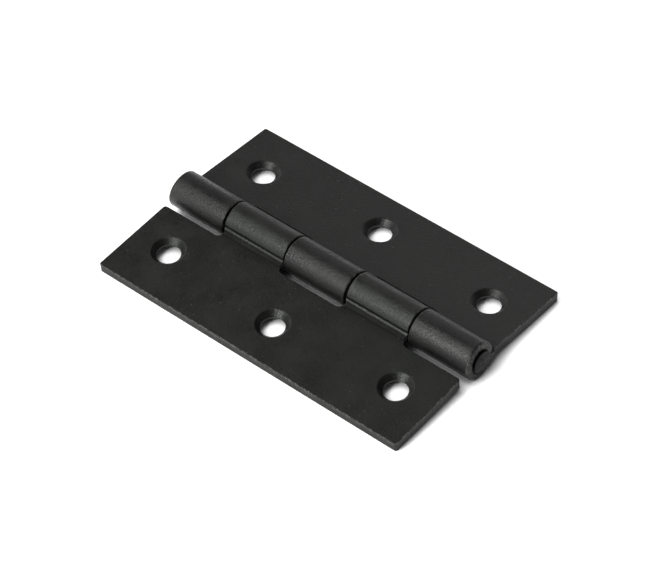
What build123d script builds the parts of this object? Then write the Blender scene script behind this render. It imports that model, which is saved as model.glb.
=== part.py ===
"""Pressed steel butt hinge, lying open on its barrel with the countersunk faces up.

Frame: millimetres, +X along the pin, +Y to the three-knuckle leaf, +Z up.
The origin is on the ground under the middle of the pin.
"""
import os
from math import asin, atan2, cos, degrees, hypot, radians, sin, sqrt

from build123d import *

# Driving dimensions
leaf_length = 76.0          # along the pin
leaf_reach = 25.2           # pin axis to the outer edge of a leaf
sheet = 2.15                # thickness of the pressed sheet
pin_diameter = 3.5
knuckle_pitch = 15.78       # length of one inner knuckle with its gap
closed_gap = 0.5            # between the faces of the closed leaves
slot_reach = 5.6            # pin axis to the edge of a slot
hole_diameter = 5.0
sink_diameter = 7.2
hole_pitch = 29.2           # middle screw to an end screw, along the leaf
hole_reach = 14.4           # pin axis to the end screws
hole_stagger = 2.0          # middle screw further out by this

# Clearances and fits
pin_clearance = 0.05        # radial, pin in the running knuckles
pin_press = 0.01            # radial, pin ends in the outer knuckles
knuckle_gap = 0.4           # along the pin
seam_gap = 0.15             # free end of the curl above the leaf

# Edges and small forms
tab_flat = 1.25             # from the edge of a slot to the bend of the joggle
slot_corner = 1.0
outer_corner = 0.5
inner_corner = 0.7
top_edge = 0.08
bottom_edge = 0.12
sink_edge = 0.12
hole_break = 0.55           # a punched hole widens to the back by this
knuckle_edge = 0.25
end_swell = 0.35            # outer knuckles past the leaf's end
end_lean = 4.6              # outer ends lean out at the bottom, in degrees
end_edge = 0.45
mouth_flare = 0.85
mouth_depth = 0.9
pin_proud = 0.75
pin_dome = 0.3
pin_head = 0.65             # peened ends wider than the pin, at the radius
knuckle_bulge = 0.25        # outer leaf's knuckles out of round, away from the leaf
crease_angle = 25.0         # top of the crease above the free end of the curl
crease_drop = 0.85          # wall under it
lip_width = 0.5             # sloping face of the free end
lip_fall = 46.0             # of that face, in degrees
lip_round = 0.15
lip_undercut = 0.13         # below that face
foot_reach = 0.65           # burr at the foot of the free end, out past the barrel
foot_height = 0.3
toe_height = 0.06

# Derived sizes
pin_r = pin_diameter / 2
bore_r = pin_r + pin_clearance
barrel_r = bore_r + sheet
face = -closed_gap / 2
back = face - sheet
half = leaf_length / 2
inner_mark = knuckle_pitch / 2
outer_mark = inner_mark + knuckle_pitch
barrel_half = half + end_swell
bend_u = slot_reach - tab_flat
bend_radius = (bend_u ** 2 + back ** 2 - barrel_r ** 2) / (2 * (barrel_r + back))
bend_v = back - bend_radius
join_angle = degrees(atan2(bend_v, bend_u))
seam_angle = degrees(asin((face + seam_gap) / bore_r))
sink_depth = (sink_diameter - hole_diameter) / 2
break_depth = 0.75 * (sheet - sink_depth)


def resting_tilt():
    """Droop of a leaf, in degrees, with the barrel and its outer edge on the ground."""
    along = leaf_reach - bottom_edge
    return degrees(asin(barrel_r / hypot(along, back)) - atan2(-back, along))


def polar(radius, angle):
    """Point of the curl's section at a radius and an angle above the leaf's side."""
    return (radius * cos(radians(angle)), radius * sin(radians(angle)))


def round_arc(radius, start, end):
    """Arc about the pin axis from one angle to another, in degrees."""
    middle = (start + end) / 2
    return ThreePointArc(polar(radius, start), polar(radius, middle), polar(radius, end))


def bend_arc(radius):
    """Arc of the joggle from the flat leaf to the barrel."""
    turn = (90 + 180 + join_angle) / 2
    points = []
    for angle in (90, turn, 180 + join_angle):
        u, v = polar(radius, angle)
        points.append((bend_u + u, bend_v + v))
    return ThreePointArc(*points)


def curl_section(bulge):
    """Section of the sheet that leaves the leaf, runs under the pin and curls back over it."""
    crest = polar(barrel_r, crease_angle)
    root = (crest[0], crest[1] - crease_drop)
    run, fall = polar(lip_width, lip_fall)
    shoulder = (root[0] + run, root[1] - fall)
    seat = face + seam_gap
    heel = (shoulder[0] - lip_undercut, seat + foot_height)
    toe = (barrel_r + foot_reach, seat + toe_height)
    sole = (barrel_r + foot_reach, seat)
    top_bend = bend_arc(bend_radius + sheet)
    inside = round_arc(bore_r, join_angle, seam_angle - 360)
    lip = Polyline(polar(bore_r, seam_angle), sole, toe, heel, shoulder, root, crest)
    outside = round_arc(barrel_r, crease_angle, 360 + join_angle)
    low_bend = bend_arc(bend_radius)
    close = Line((bend_u, back), (bend_u, face))
    section = make_face([top_bend, inside, *lip.edges(), outside, low_bend, close])
    section = fillet(section.vertices().sort_by_distance(shoulder)[0], lip_round)
    if bulge:
        oval = Pos(-bulge / 2, 0) * SlotCenterToCenter(bulge, 2 * barrel_r)
        far_half = Pos(-barrel_r, 0) * Rectangle(2 * barrel_r, 4 * barrel_r)
        section += (oval & far_half) - Circle(barrel_r - sheet / 2)
    return section


def end_trim(inward, radius, bulge):
    """Ring at X = 0 that eases the outer edge of a knuckle end; inward is -1 or 1 along X."""
    limit = barrel_r + 2 * foot_reach
    start = barrel_r - radius
    slope = radius * (1 - sqrt(0.5))
    profile = Polyline(
        (0, start),
        (inward * slope, barrel_r - slope),
        (inward * radius, barrel_r),
        (inward * radius, limit),
        (-inward, limit),
        (-inward, start),
        close=True,
    )
    cut = make_face(profile)
    half_ring = revolve(cut, Axis.X, 180)
    ring = Rot(-90, 0, 0) * half_ring + Pos(0, -bulge, 0) * Rot(90, 0, 0) * half_ring
    if bulge:
        for turn in (90, -90):
            ring += extrude(Rot(turn, 0, 0) * cut, bulge, dir=(0, -1, 0))
    leaf_side = polar(barrel_r, join_angle)[0]
    keep = Pos(0, leaf_side + barrel_r / 2, face - barrel_r) * Box(4, barrel_r, 2 * barrel_r)
    return ring - keep


def knuckle(x0, x1, bulge):
    """One curled knuckle from x0 to x1, with its ends eased and its outer ends leaning out."""
    body = Pos(x0 - 1, 0, 0) * extrude(Plane.YZ * curl_section(bulge), x1 - x0 + 2)
    for x, inward in ((x0, 1), (x1, -1)):
        outer = abs(x) > half
        lean = Pos(x, 0, 0) * Rot(0, inward * end_lean if outer else 0, 0)
        body -= lean * Pos(-inward * barrel_r, 0, 0) * Box(2 * barrel_r, 4 * barrel_r, 4 * barrel_r)
        body -= lean * end_trim(inward, end_edge if outer else knuckle_edge, bulge)
    return body


def outline_corners(face_sketch, points, radius):
    """Round the corners of a flat sketch that lie at the given points."""
    corners = [face_sketch.vertices().sort_by_distance(point)[0] for point in points]
    return fillet(corners, radius)


def plate(tabs):
    """Flat leaf with its tabs to the knuckles, its slots and its countersunk holes."""
    depth = leaf_reach - slot_reach
    flat = Pos(0, slot_reach + depth / 2) * Rectangle(leaf_length, depth)
    slots = []
    for x0, x1 in tabs:
        x0, x1 = max(x0, -half), min(x1, half)
        reach = slot_reach - bend_u
        flat += Pos((x0 + x1) / 2, bend_u + reach / 2) * Rectangle(x1 - x0, reach)
        slots += [(x, slot_reach, 0) for x in (x0, x1) if abs(x) < half]
    flat = outline_corners(flat, slots, slot_corner)
    flat = outline_corners(flat, [(-half, leaf_reach, 0), (half, leaf_reach, 0)], outer_corner)
    if tabs[0][0] > -half:
        flat = outline_corners(flat, [(-half, slot_reach, 0), (half, slot_reach, 0)], inner_corner)
    solid = Pos(0, 0, back) * extrude(flat, sheet)
    rim = lambda height: [
        edge
        for edge in solid.edges().group_by(Axis.Z)[height]
        if edge.center().Y > slot_reach + inner_corner
    ]
    solid = chamfer(rim(-1), top_edge)
    solid = chamfer(rim(0), bottom_edge)
    below = (Align.CENTER, Align.CENTER, Align.MAX)
    above = (Align.CENTER, Align.CENTER, Align.MIN)
    sink = Cone(hole_diameter / 2, sink_diameter / 2, sink_depth, align=below)
    tear = Cone(hole_diameter / 2 + hole_break, hole_diameter / 2, break_depth, align=above)
    for x, out in ((-hole_pitch, 0), (0, hole_stagger), (hole_pitch, 0)):
        spot = Pos(x, hole_reach + out, face)
        solid -= spot * sink
        solid -= spot * Cylinder(hole_diameter / 2, 3 * sheet)
        solid -= spot * Pos(0, 0, -sheet) * tear
    rims = [
        edge
        for edge in solid.edges().filter_by(GeomType.CIRCLE)
        if abs(edge.radius - sink_diameter / 2) < 0.01
    ]
    return chamfer(rims, sink_edge)


def leaf(tabs, bulge):
    """One leaf of the hinge, flat, pin axis on X and leaf towards +Y."""
    solid = plate(tabs)
    for x0, x1 in tabs:
        solid += knuckle(x0, x1, bulge)
    if tabs[0][0] < -half:
        for x, side in ((-barrel_half, 1), (barrel_half, -1)):
            flare = Cone(bore_r + 2 * mouth_flare, bore_r, 2 * mouth_depth)
            solid -= Pos(x, 0, 0) * Rot(0, 90 * side, 0) * flare
    return solid


def hinge_pin():
    """Pin with peened ends, swelled where it is pressed into the outer knuckles."""
    tip = barrel_half + pin_proud
    shoulder = tip - pin_dome
    press_r = bore_r + pin_press
    head_r = pin_r + pin_head
    grip_end = barrel_half - mouth_depth
    grip_start = outer_mark + knuckle_gap
    dome_r = (head_r ** 2 + pin_dome ** 2) / (2 * pin_dome)
    dome_x, dome_y = polar(dome_r, degrees(asin(head_r / dome_r)) / 2)
    side = [
        (grip_start, pin_r),
        (grip_start + knuckle_gap, press_r),
        (grip_end, press_r),
        (grip_end + knuckle_gap, pin_r),
        (shoulder, head_r),
    ]
    other = [(-x, y) for x, y in reversed(side)]
    crown = tip - dome_r + dome_x
    profile = make_face([
        Polyline(*other, *side),
        ThreePointArc((shoulder, head_r), (crown, dome_y), (tip, 0)),
        Line((tip, 0), (-tip, 0)),
        ThreePointArc((-tip, 0), (-crown, dome_y), (-shoulder, head_r)),
    ])
    return revolve(profile, Axis.X, 360)


def place(solid, turn):
    """Turn a flat leaf to its side of the pin, let it droop and set it on the ground."""
    return Pos(0, 0, barrel_r) * Rot(0, 0, turn) * Rot(-resting_tilt(), 0, 0) * solid


gap = knuckle_gap / 2
outer_tabs = [
    (-barrel_half, -outer_mark - gap),
    (-inner_mark + gap, inner_mark - gap),
    (outer_mark + gap, barrel_half),
]
inner_tabs = [
    (-outer_mark + gap, -inner_mark - gap),
    (inner_mark + gap, outer_mark - gap),
]

os.makedirs("parts", exist_ok=True)
export_step(place(leaf(outer_tabs, knuckle_bulge), 0), "parts/three_knuckle_leaf.step")
export_step(place(leaf(inner_tabs, 0), 180), "parts/two_knuckle_leaf.step")
export_step(Pos(0, 0, barrel_r) * hinge_pin(), "parts/hinge_pin.step")
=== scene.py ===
"""Finishes, studio and camera for the pressed steel butt hinge.

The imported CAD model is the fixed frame: metres, +X along the pin, +Y to the three-knuckle
leaf, +Z up, with the origin on the ground under the middle of the pin. The surface effects
read places in millimetres: along the pin, out from it along the leaf, and above its axis.
"""

import logging
import math
from dataclasses import dataclass
from enum import Enum

import bpy
from mathutils import Matrix, Vector

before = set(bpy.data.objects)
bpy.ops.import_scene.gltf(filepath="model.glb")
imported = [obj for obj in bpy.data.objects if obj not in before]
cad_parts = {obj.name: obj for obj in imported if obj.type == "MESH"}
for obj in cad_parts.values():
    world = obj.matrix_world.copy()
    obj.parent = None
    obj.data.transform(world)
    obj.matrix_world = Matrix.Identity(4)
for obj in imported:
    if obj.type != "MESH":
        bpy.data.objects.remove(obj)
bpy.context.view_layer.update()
log = logging.getLogger("butt_hinge")

Triple = tuple[float, float, float]
Colour = Triple
Socket = bpy.types.NodeSocket
Effects = dict[str, bpy.types.NodeTree]

MM = 0.001
WHITE: Colour = (1.0, 1.0, 1.0)
# The front leaf reflects a little greener than the rear leaf.
FRONT_SHEEN: Colour = (0.985, 1.03, 0.965)
# Mean of a noise texture.
NOISE_MIDDLE = 0.5
# Places of the colour sockets of a Mix node.
MIX_FIRST = 6
MIX_SECOND = 7
MIX_RESULT = 2


class Sum(Enum):
    """Arithmetic of a Math node."""

    ADD = "ADD"
    TAKE = "SUBTRACT"
    TIMES = "MULTIPLY"
    MOST = "MAXIMUM"
    SIZE = "ABSOLUTE"
    SWING = "PINGPONG"
    ABOVE = "GREATER_THAN"


class Side(Enum):
    """Side of the pin that a leaf lies on: the sign of its Y."""

    REAR = 1.0
    FRONT = -1.0


class NodeSheet:
    """A node tree with short ways to add nodes and join their sockets."""

    def __init__(self, tree: bpy.types.NodeTree) -> None:
        """Take the tree that the nodes go into."""
        self.tree = tree

    def add(self, kind: str, **settings: object) -> bpy.types.Node:
        """Add one node and set its properties.

        Args:
            kind: Blender's name of the node type.
            settings: properties of the node and their values.

        Returns:
            The new node.
        """
        node = self.tree.nodes.new(kind)
        for name, value in settings.items():
            setattr(node, name, value)
        return node

    def feed(self, socket: Socket, value: object) -> None:
        """Join a socket to another socket, or set its constant.

        Args:
            socket: the socket that takes the value.
            value: another socket, or a constant.
        """
        if isinstance(value, bpy.types.NodeSocket):
            self.tree.links.new(value, socket)
        else:
            socket.default_value = value

    def sum(self, kind: Sum, first: object, second: object = 0.0) -> Socket:
        """Work out one value from two.

        Args:
            kind: the arithmetic.
            first: a socket or a number.
            second: a socket or a number.

        Returns:
            The socket with the result.
        """
        node = self.add("ShaderNodeMath", operation=kind.value)
        self.feed(node.inputs[0], first)
        self.feed(node.inputs[1], second)
        return node.outputs[0]

    def add_share(self, base: Socket, part: Socket, share: float) -> Socket:
        """Add a share of one value to another."""
        return self.sum(Sum.ADD, base, self.sum(Sum.TIMES, part, share))

    def ramp(
        self, value: Socket, start: float, end: float, low: float = 0.0, high: float = 1.0
    ) -> Socket:
        """Ease a value from low at start to high at end, and hold it outside.

        Args:
            value: the socket to read.
            start: where the result is low.
            end: where the result is high.
            low: the result at start.
            high: the result at end.

        Returns:
            The socket with the eased value.
        """
        node = self.add("ShaderNodeMapRange", interpolation_type="SMOOTHSTEP")
        names = ("From Min", "From Max", "To Min", "To Max")
        for name, setting in zip(names, (start, end, low, high)):
            node.inputs[name].default_value = setting
        self.feed(node.inputs["Value"], value)
        return node.outputs["Result"]

    def spread(self, share: Socket, middle: float, reach: float) -> Socket:
        """Ease from below a middle value to above it, as a share goes from 0 to 1."""
        return self.ramp(share, 0.0, 1.0, middle - reach, middle + reach)

    def tint(self, share: Socket, low: object, high: object) -> Socket:
        """Mix two colours.

        Args:
            share: how much of the second colour shows.
            low: the first colour, or a socket with it.
            high: the second colour, or a socket with it.

        Returns:
            The socket with the mixed colour.
        """
        node = self.add("ShaderNodeMix", data_type="RGBA")
        self.feed(node.inputs["Factor"], share)
        for place, colour in ((MIX_FIRST, low), (MIX_SECOND, high)):
            joined = isinstance(colour, bpy.types.NodeSocket)
            self.feed(node.inputs[place], colour if joined else (*colour, 1.0))
        return node.outputs[MIX_RESULT]

    def noise(
        self, place: Socket, scale: float, octaves: float, bite: float = 0.5
    ) -> Socket:
        """Read a noise texture.

        Args:
            place: the position socket.
            scale: features per unit of the position.
            octaves: layers of finer noise.
            bite: strength of the finer noise.

        Returns:
            The socket with the noise, about 0 to 1.
        """
        node = self.add("ShaderNodeTexNoise")
        self.feed(node.inputs["Vector"], place)
        node.inputs["Scale"].default_value = scale
        node.inputs["Detail"].default_value = octaves
        node.inputs["Roughness"].default_value = bite
        return node.outputs["Fac"]

    def here(self) -> Socket:
        """Give the place on the object in metres."""
        return self.add("ShaderNodeTexCoord").outputs["Object"]

    def stretch(self, place: Socket, scale: Triple) -> Socket:
        """Stretch a position along its axes.

        Args:
            place: the position socket.
            scale: the factor along each axis.

        Returns:
            The socket with the stretched position.
        """
        node = self.add("ShaderNodeMapping")
        self.feed(node.inputs["Vector"], place)
        node.inputs["Scale"].default_value = scale
        return node.outputs["Vector"]

    def split(self, place: Socket) -> tuple[Socket, Socket, Socket]:
        """Take a position apart.

        Args:
            place: the position socket.

        Returns:
            The sockets with its three parts.
        """
        node = self.add("ShaderNodeSeparateXYZ")
        self.feed(node.inputs[0], place)
        return node.outputs[0], node.outputs[1], node.outputs[2]

    def length(self, first: Socket, second: Socket) -> Socket:
        """Measure a line from its two parts at right angles.

        Args:
            first: the part along one axis.
            second: the part along the other axis.

        Returns:
            The socket with the length.
        """
        line = self.add("ShaderNodeCombineXYZ")
        self.feed(line.inputs["X"], first)
        self.feed(line.inputs["Y"], second)
        node = self.add("ShaderNodeVectorMath", operation="LENGTH")
        self.feed(node.inputs[0], line.outputs[0])
        return node.outputs["Value"]

    def use(self, group: bpy.types.NodeTree, place: Socket) -> bpy.types.NodeOutputs:
        """Place a shared effect and give it the position it reads.

        Args:
            group: the node group of the effect.
            place: the position socket.

        Returns:
            The outputs of the placed group.
        """
        node = self.add("ShaderNodeGroup", node_tree=group)
        self.feed(node.inputs["Place"], place)
        return node.outputs

    def emboss(
        self, shader: bpy.types.Node, height: Socket, strength: float, depth: float
    ) -> None:
        """Give a shader a fine relief.

        Args:
            shader: the shader node.
            height: the socket with the relief's height.
            strength: how strongly the relief shows.
            depth: the depth in metres of a height of 1.
        """
        bump = self.add("ShaderNodeBump")
        bump.inputs["Strength"].default_value = strength
        bump.inputs["Distance"].default_value = depth
        self.feed(bump.inputs["Height"], height)
        self.feed(shader.inputs["Normal"], bump.outputs["Normal"])


def blank_material(name: str) -> tuple[bpy.types.Material, NodeSheet, bpy.types.Node]:
    """Start a material.

    Args:
        name: the material's name.

    Returns:
        The material, the sheet of its nodes and its shader node.
    """
    material = bpy.data.materials.new(name)
    material.use_nodes = True
    shader = material.node_tree.nodes["Principled BSDF"]
    return material, NodeSheet(material.node_tree), shader


def cover(node: str, material: bpy.types.Material) -> None:
    """Put a finish on all of a CAD node and report the piece.

    Args:
        node: the node's name.
        material: the finish.
    """
    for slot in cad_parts[node].material_slots:
        slot.material = material
    log.info("%s dressed", node)


class Effect:
    """A shared surface effect: one node group that reads a place in millimetres."""

    title: str = "effect"
    puts_out: tuple[str, ...] = ()

    def build(self) -> bpy.types.NodeTree:
        """Make the node group.

        Returns:
            The finished group.
        """
        tree = bpy.data.node_groups.new(self.title, "ShaderNodeTree")
        tree.interface.new_socket(name="Place", in_out="INPUT", socket_type="NodeSocketVector")
        for name in self.puts_out:
            tree.interface.new_socket(name=name, in_out="OUTPUT", socket_type="NodeSocketFloat")
        sheet = NodeSheet(tree)
        place = sheet.add("NodeGroupInput").outputs["Place"]
        end = sheet.add("NodeGroupOutput")
        for name, value in self.draw(sheet, place).items():
            sheet.feed(end.inputs[name], value)
        return tree

    def draw(self, sheet: NodeSheet, place: Socket) -> dict[str, Socket]:
        """Add the nodes of the effect and give the socket of each output."""
        raise NotImplementedError


@dataclass(frozen=True)
class SatinGrain(Effect):
    """Fine grain, broad clouds and stray pale specks of the blackened sheet."""

    title = "satin_grain"
    puts_out = ("Grain", "Cloud", "Specks")
    grain_per_mm: float = 2.4
    grain_octaves: float = 3.0
    grain_bite: float = 0.6
    cloud_per_mm: float = 0.16
    cloud_octaves: float = 4.0
    cloud_bite: float = 0.55
    speck_per_mm: float = 0.95
    speck_reach: float = 0.13
    speck_core: float = 0.4
    speck_share: float = 0.72

    def draw(self, sheet: NodeSheet, place: Socket) -> dict[str, Socket]:
        """Add the nodes of the grain.

        Args:
            sheet: the node tree of the group.
            place: the position socket.

        Returns:
            The socket of each output.
        """
        grain = sheet.noise(place, self.grain_per_mm, self.grain_octaves, self.grain_bite)
        cloud = sheet.noise(place, self.cloud_per_mm, self.cloud_octaves, self.cloud_bite)
        cells = sheet.add("ShaderNodeTexVoronoi")
        sheet.feed(cells.inputs["Vector"], place)
        cells.inputs["Scale"].default_value = self.speck_per_mm
        core = self.speck_core * self.speck_reach
        near = sheet.ramp(cells.outputs["Distance"], self.speck_reach, core)
        chosen = sheet.split(cells.outputs["Color"])[0]
        few = sheet.sum(Sum.ABOVE, chosen, self.speck_share)
        return {"Grain": grain, "Cloud": cloud, "Specks": sheet.sum(Sum.TIMES, near, few)}


@dataclass(frozen=True)
class RollMarks(Effect):
    """Faint rings of the curling tool around a knuckle, and painted shade in the crease at its
    foot.
    """

    title = "roll_marks"
    puts_out = ("Rings", "Barrel", "CreaseShade")
    rings_per_mm: float = 3.2
    ring_octaves: float = 2.0
    around: float = 0.12
    barrel_radius: float = 4.0
    barrel_fade: float = 0.6
    crease_inner: float = 3.5
    crease_outer: float = 4.7
    crease_top: float = 0.35
    crease_depth: float = 0.8
    crease_fade: float = 0.3

    def draw(self, sheet: NodeSheet, place: Socket) -> dict[str, Socket]:
        """Add the nodes of the rings and of the painted crease shade.

        Args:
            sheet: the node tree of the group.
            place: the position socket.

        Returns:
            The socket of each output.
        """
        _, out, up = sheet.split(place)
        limit = self.barrel_radius + self.barrel_fade
        barrel = sheet.ramp(sheet.length(out, up), limit, self.barrel_radius)
        drawn_out = sheet.stretch(place, (1.0, self.around, self.around))
        rings = sheet.noise(drawn_out, self.rings_per_mm, self.ring_octaves)
        # The band under the knuckle's lip where the crease's shade is painted.
        bottom = self.crease_top - self.crease_depth
        across = self.crease_band(sheet, out, self.crease_inner, self.crease_outer)
        upright = self.crease_band(sheet, up, bottom, self.crease_top)
        crease_shade_share = sheet.sum(Sum.TIMES, across, upright)
        return {"Rings": rings, "Barrel": barrel, "CreaseShade": crease_shade_share}

    def crease_band(self, sheet: NodeSheet, value: Socket, low: float, high: float) -> Socket:
        """Mark the values between two limits, with a fade outside both.

        Args:
            sheet: the node tree of the group.
            value: the socket to read.
            low: the lower limit.
            high: the upper limit.

        Returns:
            The socket with 1 in the band and 0 well outside it.
        """
        rise = sheet.ramp(value, low - self.crease_fade, low)
        fall = sheet.ramp(value, high + self.crease_fade, high)
        return sheet.sum(Sum.TIMES, rise, fall)


@dataclass(frozen=True)
class CutEdge(Effect):
    """Sheared rim of a leaf: the top edge, rubbed and with a painted highlight, the burnished
    and torn bands.
    """

    title = "cut_edge"
    puts_out = ("RubAndGlint", "Cut", "Torn", "Streaks")
    half_length: float = 38.0
    reach: float = 25.2
    corner: float = 0.5
    face_height: float = -0.25
    rub_width: float = 0.20
    rub_full: float = 0.08
    rub_depth: float = 0.8
    spots_per_mm: float = 1.8
    spot_from: float = 0.44
    spot_full: float = 0.64
    cut_width: float = 0.06
    cut_full: float = 0.02
    burnish: float = 0.85
    torn_fade: float = 0.18
    ragged: float = 0.5
    ragged_per_mm: float = 0.9
    octaves: float = 3.0
    bite: float = 0.65
    streaks_per_mm: Triple = (5.0, 5.0, 0.5)
    streak_octaves: float = 2.0

    def draw(self, sheet: NodeSheet, place: Socket) -> dict[str, Socket]:
        """Add the nodes of the rim.

        Args:
            sheet: the node tree of the group.
            place: the position socket.

        Returns:
            The socket of each output.
        """
        up = sheet.split(place)[2]
        inside = self.from_rim(sheet, place)
        spots = sheet.noise(place, self.spots_per_mm, self.octaves, self.bite)
        # The top rim: rubbed bare in spots, and painted paler as a highlight.
        rim = sheet.ramp(inside, self.rub_width, self.rub_full)
        rub_and_glint = sheet.sum(Sum.TIMES, rim, sheet.ramp(spots, self.spot_from, self.spot_full))
        high = sheet.ramp(up, self.face_height - self.rub_depth, self.face_height)
        rub_and_glint = sheet.sum(Sum.TIMES, rub_and_glint, high)
        cut = sheet.ramp(inside, self.cut_width, self.cut_full)
        patchy = sheet.noise(place, self.ragged_per_mm, self.octaves, self.bite)
        level = sheet.add_share(up, patchy, self.ragged)
        torn_top = self.face_height - self.burnish + self.ragged * NOISE_MIDDLE
        below = sheet.ramp(level, torn_top, torn_top - self.torn_fade)
        torn = sheet.sum(Sum.TIMES, cut, below)
        drawn_out = sheet.stretch(place, self.streaks_per_mm)
        streaks = sheet.noise(drawn_out, 1.0, self.streak_octaves)
        return {"RubAndGlint": rub_and_glint, "Cut": cut, "Torn": torn, "Streaks": streaks}

    def from_rim(self, sheet: NodeSheet, place: Socket) -> Socket:
        """Measure how far inside the leaf's round-cornered outline a place is.

        Args:
            sheet: the node tree of the group.
            place: the position socket.

        Returns:
            The socket with the distance, at most the corner's radius.
        """
        along, out, _ = sheet.split(place)
        along = sheet.sum(Sum.SIZE, along)
        past_length = sheet.sum(Sum.TAKE, along, self.half_length - self.corner)
        past_reach = sheet.sum(Sum.TAKE, out, self.reach - self.corner)
        past_length = sheet.sum(Sum.MOST, past_length, 0.0)
        past_reach = sheet.sum(Sum.MOST, past_reach, 0.0)
        return sheet.sum(Sum.TAKE, self.corner, sheet.length(past_length, past_reach))


@dataclass(frozen=True)
class EndWearAndGlint(Effect):
    """Patchy spots on the end edges of the knuckles: wear and painted glints."""

    title = "end_wear_and_glint"
    puts_out = ("WearAndGlint",)
    pitch: float = 15.78
    barrel_half: float = 38.35
    rub_start: float = 0.15
    rub_end: float = 0.75
    outer_share: float = 0.3
    spots_per_mm: float = 0.8
    spot_octaves: float = 4.0
    spot_bite: float = 0.7
    spot_from: float = 0.50
    spot_full: float = 0.70

    def draw(self, sheet: NodeSheet, place: Socket) -> dict[str, Socket]:
        """Add the nodes of the wear and the painted glints.

        Args:
            sheet: the node tree of the group.
            place: the position socket.

        Returns:
            The socket of each output.
        """
        along = sheet.split(place)[0]
        half_pitch = self.pitch / 2
        from_gap = sheet.sum(Sum.SWING, sheet.sum(Sum.ADD, along, half_pitch), half_pitch)
        past_end = sheet.sum(Sum.TAKE, sheet.sum(Sum.SIZE, along), self.barrel_half)
        from_end = sheet.sum(Sum.SIZE, past_end)
        inner = sheet.ramp(from_gap, self.rub_end, self.rub_start)
        outer = sheet.ramp(from_end, self.rub_end, self.rub_start, 0.0, self.outer_share)
        spots = sheet.noise(place, self.spots_per_mm, self.spot_octaves, self.spot_bite)
        spots = sheet.ramp(spots, self.spot_from, self.spot_full)
        return {"WearAndGlint": sheet.sum(Sum.TIMES, sheet.sum(Sum.MOST, inner, outer), spots)}


@dataclass(frozen=True)
class LeafPlace:
    """How a leaf lies in the frame, for patterns that follow it."""

    side: Side
    pin_height: float = 3.95
    droop: float = 3.5538

    def read(self, sheet: NodeSheet) -> Socket:
        """Read the place on the flat leaf in millimetres: along the pin, out from it, above it.

        Args:
            sheet: the node tree of the material.

        Returns:
            The position socket.
        """
        turn = math.radians(self.droop)
        mapping = sheet.add("ShaderNodeMapping")
        mapping.inputs["Scale"].default_value = (1 / MM, self.side.value / MM, 1 / MM)
        mapping.inputs["Rotation"].default_value = (turn, 0.0, 0.0)
        down = (0.0, self.pin_height * math.sin(turn), -self.pin_height * math.cos(turn))
        mapping.inputs["Location"].default_value = down
        sheet.feed(mapping.inputs["Vector"], sheet.here())
        return mapping.outputs["Vector"]


@dataclass(frozen=True)
class SatinBlack:
    """Blackened sheet steel with a satin oil finish."""

    deep: Colour = (0.0030, 0.0034, 0.0029)
    worn: Colour = (0.0108, 0.0114, 0.0104)
    # Paler steel on rims and knuckle ends: partly wear, partly painted glints.
    rub_and_glint: Colour = (0.120, 0.120, 0.115)
    sheared: Colour = (0.021, 0.021, 0.0203)
    torn: Colour = (0.007, 0.007, 0.0067)
    speck: Colour = (0.10, 0.10, 0.095)
    # Painted shade in the crease under a knuckle's lip.
    crease_shade: Colour = (0.0012, 0.0013, 0.0012)
    sheen: Colour = (1.0, 1.01, 0.985)
    reflection: float = 0.5
    cloud_from: float = 0.32
    cloud_full: float = 0.68
    cloud_share: float = 0.55
    grain_from: float = 0.3
    grain_full: float = 0.7
    grain_share: float = 0.45
    roughness: float = 0.40
    rough_spread: float = 0.09
    ring_rough: float = 0.22
    cut_rough: float = 0.3
    crease_rough: float = 0.4
    ring_relief: float = 0.8
    streak_relief: float = 2.0
    relief_strength: float = 0.7
    relief_depth: float = 0.00004

    def paint(self, name: str, leaf_place: LeafPlace, effects: Effects) -> bpy.types.Material:
        """Make the finish of one leaf.

        Args:
            name: the material's name.
            leaf_place: how the leaf lies in the frame.
            effects: the shared node groups by title.

        Returns:
            The material.
        """
        material, sheet, shader = blank_material(name)
        place = leaf_place.read(sheet)
        grain = sheet.use(effects["satin_grain"], place)
        marks = sheet.use(effects["roll_marks"], place)
        edge = sheet.use(effects["cut_edge"], place)
        end_wear_glint = sheet.use(effects["end_wear_and_glint"], place)
        clouds = sheet.ramp(grain["Cloud"], self.cloud_from, self.cloud_full)
        clouds = sheet.sum(Sum.TIMES, clouds, self.cloud_share)
        fine = sheet.ramp(grain["Grain"], self.grain_from, self.grain_full)
        share = sheet.add_share(clouds, fine, self.grain_share)
        # Wear and painted glints on knuckle ends and top rims.
        wear_and_glint_share = sheet.sum(Sum.TIMES, end_wear_glint["WearAndGlint"], marks["Barrel"])
        wear_and_glint_share = sheet.sum(Sum.MOST, wear_and_glint_share, edge["RubAndGlint"])
        colour = sheet.tint(share, self.deep, self.worn)
        layers = (
            # Painted shade in the crease.
            (marks["CreaseShade"], self.crease_shade),
            (edge["Cut"], self.sheared),
            (edge["Torn"], self.torn),
            (wear_and_glint_share, self.rub_and_glint),
            (grain["Specks"], self.speck),
        )
        for amount, layer in layers:
            colour = sheet.tint(amount, colour, layer)
        sheet.feed(shader.inputs["Base Color"], colour)
        rings = sheet.sum(Sum.TAKE, marks["Rings"], NOISE_MIDDLE)
        rings = sheet.sum(Sum.TIMES, rings, marks["Barrel"])
        rough = sheet.spread(share, self.roughness, self.rough_spread)
        rough = sheet.add_share(rough, rings, self.ring_rough)
        rough = sheet.add_share(rough, edge["Cut"], self.cut_rough)
        rough = sheet.add_share(rough, marks["CreaseShade"], self.crease_rough)
        sheet.feed(shader.inputs["Roughness"], rough)
        streaks = sheet.sum(Sum.TIMES, edge["Streaks"], edge["Cut"])
        relief = sheet.add_share(fine, rings, self.ring_relief)
        relief = sheet.add_share(relief, streaks, self.streak_relief)
        sheet.emboss(shader, relief, self.relief_strength, self.relief_depth)
        shader.inputs["Specular IOR Level"].default_value = self.reflection
        shader.inputs["Specular Tint"].default_value = (*self.sheen, 1.0)
        return material


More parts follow.
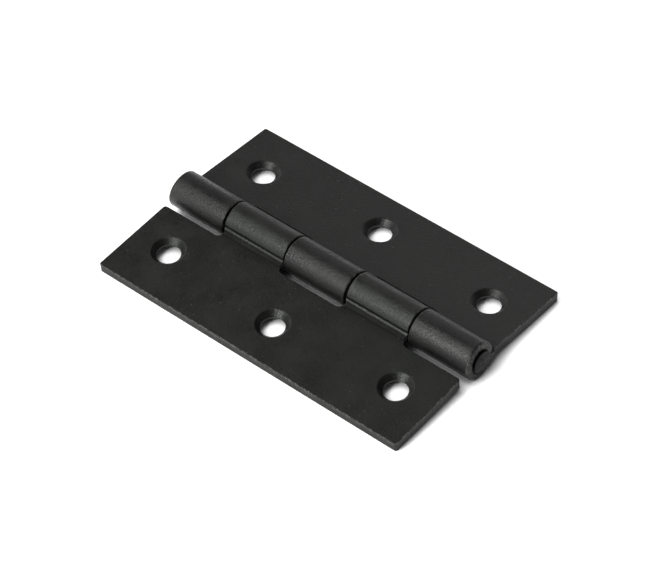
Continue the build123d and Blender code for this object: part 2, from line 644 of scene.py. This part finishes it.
@dataclass(frozen=True)
class RoughBlack:
    """Blackened pin wire with blunt, hammered ends."""

    deep: Colour = (0.0036, 0.0026, 0.0034)
    worn: Colour = (0.0085, 0.0068, 0.0080)
    worn_from: float = 0.7
    worn_full: float = 1.3
    reflection: float = 0.17
    roughness: float = 0.62
    rough_spread: float = 0.08
    dents_per_mm: float = 1.4
    dent_octaves: float = 2.0
    grain_relief: float = 0.3
    relief_strength: float = 0.6
    relief_depth: float = 0.00008

    def paint(self, name: str, effects: Effects) -> bpy.types.Material:
        """Make the finish of the pin.

        Args:
            name: the material's name.
            effects: the shared node groups by title.

        Returns:
            The material.
        """
        material, sheet, shader = blank_material(name)
        place = sheet.stretch(sheet.here(), (1 / MM, 1 / MM, 1 / MM))
        grain = sheet.use(effects["satin_grain"], place)["Grain"]
        dents = sheet.noise(place, self.dents_per_mm, self.dent_octaves)
        share = sheet.ramp(sheet.sum(Sum.ADD, grain, dents), self.worn_from, self.worn_full)
        sheet.feed(shader.inputs["Base Color"], sheet.tint(share, self.deep, self.worn))
        rough = sheet.spread(share, self.roughness, self.rough_spread)
        sheet.feed(shader.inputs["Roughness"], rough)
        relief = sheet.add_share(dents, grain, self.grain_relief)
        sheet.emboss(shader, relief, self.relief_strength, self.relief_depth)
        shader.inputs["Specular IOR Level"].default_value = self.reflection
        return material


@dataclass
class Leaf:
    """One pressed leaf with its knuckles."""

    node: str
    place: LeafPlace
    finish: SatinBlack

    def dress(self, effects: Effects) -> None:
        """Give the leaf its finish."""
        cover(self.node, self.finish.paint(f"{self.node}_black", self.place, effects))


@dataclass
class HingePin:
    """The pin that is fixed in the outer knuckles."""

    node: str
    finish: RoughBlack

    def dress(self, effects: Effects) -> None:
        """Give the pin its finish."""
        cover(self.node, self.finish.paint(f"{self.node}_black", effects))


@dataclass(frozen=True)
class Softbox:
    """One soft studio lamp, aimed at the hinge."""

    name: str
    toward: Triple
    width: float
    height: float
    watts: float
    distance: float = 1.2

    def hang(self) -> None:
        """Place the lamp and aim it at the middle of the hinge."""
        direction = Vector(self.toward).normalized()
        bpy.ops.object.light_add(type="AREA", location=direction * self.distance)
        lamp = bpy.context.object
        lamp.name = self.name
        lamp.data.shape = "RECTANGLE"
        lamp.data.size = self.width
        lamp.data.size_y = self.height
        lamp.data.energy = self.watts
        lamp.rotation_mode = "QUATERNION"
        lamp.rotation_quaternion = direction.to_track_quat("Z", "Y")
        lamp.visible_camera = False
        log.info("lamp %s hung", self.name)


@dataclass
class Studio:
    """White table, dim ceiling and soft lamps around the hinge."""

    table_size: float = 8.0
    table_colour: Colour = (0.86, 0.86, 0.86)
    table_roughness: float = 0.9
    table_glow: float = 0.75
    # Reach, lean and limits of the painted shadow on the table's glow.
    shade_reach: float = 0.0065
    shade_lean: Triple = (-0.45, -0.25, 0.80)
    shade_full: float = 0.28
    shade_none: float = 0.67
    shade_samples: int = 16
    ceiling: Colour = (0.08, 0.08, 0.08)
    horizon_height: float = 0.0
    ceiling_height: float = 0.45
    dim_from: float = 0.10
    dim_to: float = 0.65
    lamps: tuple[Softbox, ...] = (
        Softbox("key", toward=(-0.18, -0.76, 0.59), width=0.4, height=0.6, watts=9.6),
        Softbox("top", toward=(-0.30, -0.30, 0.90), width=0.4, height=0.4, watts=3.0),
        Softbox("back", toward=(-0.20, 0.62, 0.76), width=0.7, height=0.6, watts=1.42),
        Softbox("left", toward=(-0.90, 0.05, 0.43), width=0.6, height=0.6, watts=1.6),
    )

    def build(self) -> None:
        """Make the table, the surroundings and the lamps."""
        self.lay_table()
        self.light_room()
        for lamp in self.lamps:
            lamp.hang()

    def lay_table(self) -> None:
        """Lay the pale table top, which shows white, keeps the hinge's shadow and has painted
        shade near it.
        """
        bpy.ops.object.select_all(action="DESELECT")
        bpy.ops.mesh.primitive_plane_add(size=self.table_size, location=(0.0, 0.0, 0.0))
        table = bpy.context.object
        table.name = "table_top"
        material, sheet, shader = blank_material("table_white")
        shader.inputs["Base Color"].default_value = (*self.table_colour, 1.0)
        shader.inputs["Roughness"].default_value = self.table_roughness
        shader.inputs["Specular IOR Level"].default_value = 0.0
        shader.inputs["Emission Color"].default_value = (*WHITE, 1.0)
        rays = sheet.add("ShaderNodeLightPath").outputs
        seen = sheet.sum(Sum.MOST, rays["Is Camera Ray"], rays["Is Glossy Ray"])
        seen = sheet.sum(Sum.MOST, seen, rays["Is Transmission Ray"])
        # Painted shadow: the glow fades near the hinge, by occlusion leaning to one side.
        seen = sheet.sum(Sum.TIMES, seen, self.clear_of_painted_shade(sheet))
        glow = sheet.sum(Sum.TIMES, seen, self.table_glow)
        sheet.feed(shader.inputs["Emission Strength"], glow)
        table.data.materials.append(material)
        log.info("table laid")

    def clear_of_painted_shade(self, sheet: NodeSheet) -> Socket:
        """Mark the table as open, or under painted shade close to the hinge, where its glow
        dims.

        Args:
            sheet: the node tree of the table's material.

        Returns:
            The socket with 1 on the open table and 0 in full painted shade.
        """
        open_sky = sheet.add("ShaderNodeAmbientOcclusion", samples=self.shade_samples)
        open_sky.inputs["Distance"].default_value = self.shade_reach
        lean = sheet.add("ShaderNodeCombineXYZ")
        for socket, part in zip(lean.inputs, self.shade_lean):
            socket.default_value = part
        sheet.feed(open_sky.inputs["Normal"], lean.outputs["Vector"])
        return sheet.ramp(open_sky.outputs["AO"], self.shade_full, self.shade_none)

    def light_room(self) -> None:
        """Make the room: a white backdrop, dim to the right, under a dim ceiling."""
        world = bpy.data.worlds.new("room")
        bpy.context.scene.world = world
        world.use_nodes = True
        sheet = NodeSheet(world.node_tree)
        background = world.node_tree.nodes["Background"]
        right, _, height = sheet.split(sheet.add("ShaderNodeTexCoord").outputs["Generated"])
        above = sheet.ramp(height, self.horizon_height, self.ceiling_height)
        share = sheet.sum(Sum.MOST, above, sheet.ramp(right, self.dim_from, self.dim_to))
        sheet.feed(background.inputs["Color"], sheet.tint(share, WHITE, self.ceiling))
        log.info("room lit")


@dataclass(frozen=True)
class PhotoCamera:
    """Camera at the photograph's viewing angle, for a frame of 665 by 587."""

    spot: Triple = (0.260655, -0.287186, 0.400629)
    aim: Triple = (0.002251, -0.001075, 0.0)
    roll: float = -2.6108
    lens: float = 153.089
    sensor: float = 36.0
    nearest: float = 0.01
    farthest: float = 50.0

    def place(self) -> None:
        """Place the camera and make it the scene's own."""
        bpy.ops.object.camera_add(location=self.spot)
        camera = bpy.context.object
        camera.name = "photo_camera"
        look = Vector(self.aim) - Vector(self.spot)
        level = look.to_track_quat("-Z", "Y").to_matrix()
        turned = level @ Matrix.Rotation(math.radians(self.roll), 3, "Z")
        camera.rotation_mode = "QUATERNION"
        camera.rotation_quaternion = turned.to_quaternion()
        camera.data.lens = self.lens
        camera.data.sensor_width = self.sensor
        camera.data.clip_start = self.nearest
        camera.data.clip_end = self.farthest
        bpy.context.scene.camera = camera
        log.info("camera placed")


def main() -> None:
    """Dress the hinge, build the studio and place the camera."""
    logging.basicConfig(level=logging.INFO, format="%(name)s: %(message)s")
    bpy.ops.object.select_all(action="DESELECT")
    bpy.context.scene.view_settings.view_transform = "Standard"
    shared = (SatinGrain(), RollMarks(), CutEdge(), EndWearAndGlint())
    effects = {effect.title: effect.build() for effect in shared}
    pieces = (
        Leaf("three_knuckle_leaf", LeafPlace(Side.REAR), SatinBlack()),
        Leaf("two_knuckle_leaf", LeafPlace(Side.FRONT), SatinBlack(sheen=FRONT_SHEEN)),
        HingePin("hinge_pin", RoughBlack()),
    )
    for piece in pieces:
        piece.dress(effects)
    Studio().build()
    PhotoCamera().place()


if __name__ == "__main__":
    main()
